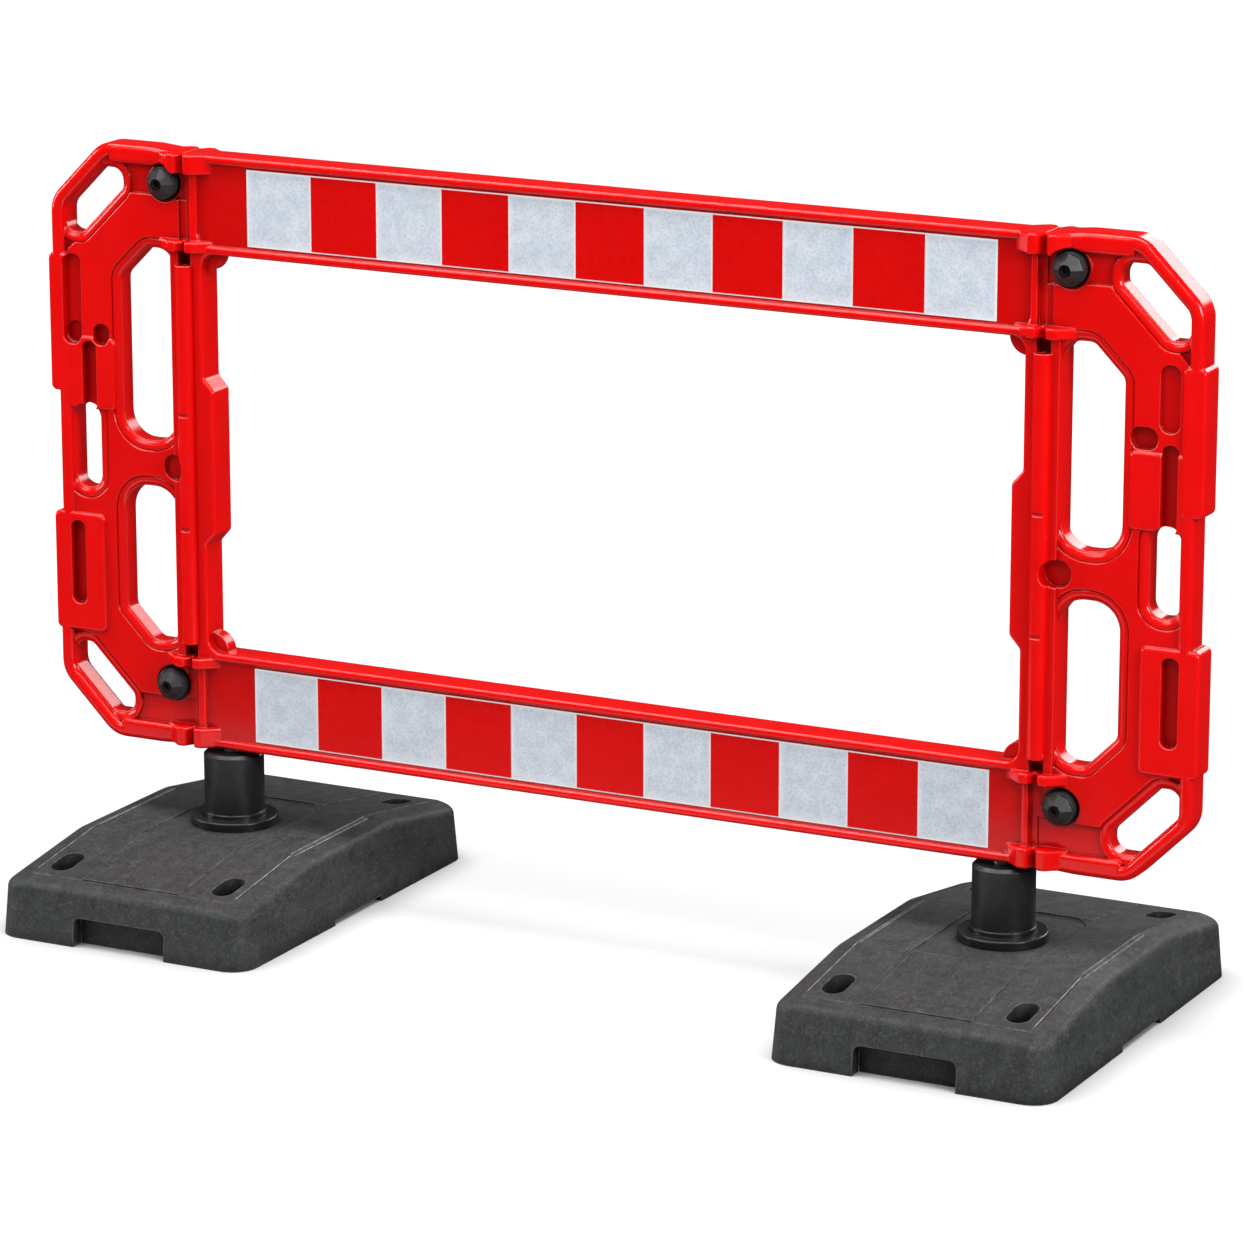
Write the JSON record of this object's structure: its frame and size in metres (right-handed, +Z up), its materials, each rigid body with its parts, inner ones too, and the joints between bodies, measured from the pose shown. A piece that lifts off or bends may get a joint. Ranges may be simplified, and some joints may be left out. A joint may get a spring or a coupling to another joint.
{
  "type": "free-standing safety barrier",
  "caption": "Red moulded safety barrier panel with red and white reflective film, standing on black swivel posts in heavy grey rubber feet.",
  "frame": {"origin": "on the floor under the middle of the panel, midway between the two feet", "axes": "+X along the panel to the right as seen from the front, front is -Y, +Z up"},
  "size_m": [2, 0.728, 1.232],
  "materials": {
    "red_plastic": "semi-gloss moulded polyethylene with soft rounded edges",
    "white_film": "white retroreflective film with a fine cell pattern",
    "red_film": "smooth red reflective film",
    "black_plastic": "semi-gloss black moulded heads",
    "black_steel": "black coated washers",
    "galvanised_steel": "dull zinc-coated tube",
    "black_post": "satin black",
    "spring_steel": "dark spring steel",
    "foot_rubber": "dark grey recycled rubber, mottled, with pale scuffed edges"
  },
  "bodies": {
    "left_foot": {"left_foot": "foot_rubber"},
    "left_pedestal": {"left_pedestal": "black_post", "left_retaining_ring": "spring_steel"},
    "panel": {"centre_frame": "red_plastic", "left_end_frame": "red_plastic", "right_end_frame": "red_plastic", "corner_bolts": "black_plastic", "corner_nuts": "black_plastic", "corner_washers": "black_steel", "left_leg": "galvanised_steel", "right_leg": "galvanised_steel", "top_front_white_film": "white_film", "top_front_red_film": "red_film", "top_back_white_film": "white_film", "top_back_red_film": "red_film", "bottom_front_white_film": "white_film", "bottom_front_red_film": "red_film", "bottom_back_white_film": "white_film", "bottom_back_red_film": "red_film"},
    "right_pedestal": {"right_pedestal": "black_post", "right_retaining_ring": "spring_steel"},
    "right_foot": {"right_foot": "foot_rubber"}
  },
  "joints": [
    {"name": "left_swivel", "type": "hinge", "parent": "left_foot", "child": "left_pedestal", "pos_m": [-0.682, 0, 0.12], "axis": [0, 0, 1], "continuous": true},
    {"name": "panel_lift", "type": "slide", "parent": "left_pedestal", "child": "panel", "axis": [0, 0, 1], "range_m": [0, 0.15]},
    {"name": "right_lift", "type": "slide", "parent": "panel", "child": "right_pedestal", "axis": [0, 0, -1], "range_m": [0, 0.15]},
    {"name": "right_swivel", "type": "hinge", "parent": "right_pedestal", "child": "right_foot", "pos_m": [0.682, 0, 0.12], "axis": [0, 0, 1], "continuous": true}
  ],
  "couplings": [
    {"joint": "right_lift", "follows": "panel_lift", "ratio": 1}
  ]
}
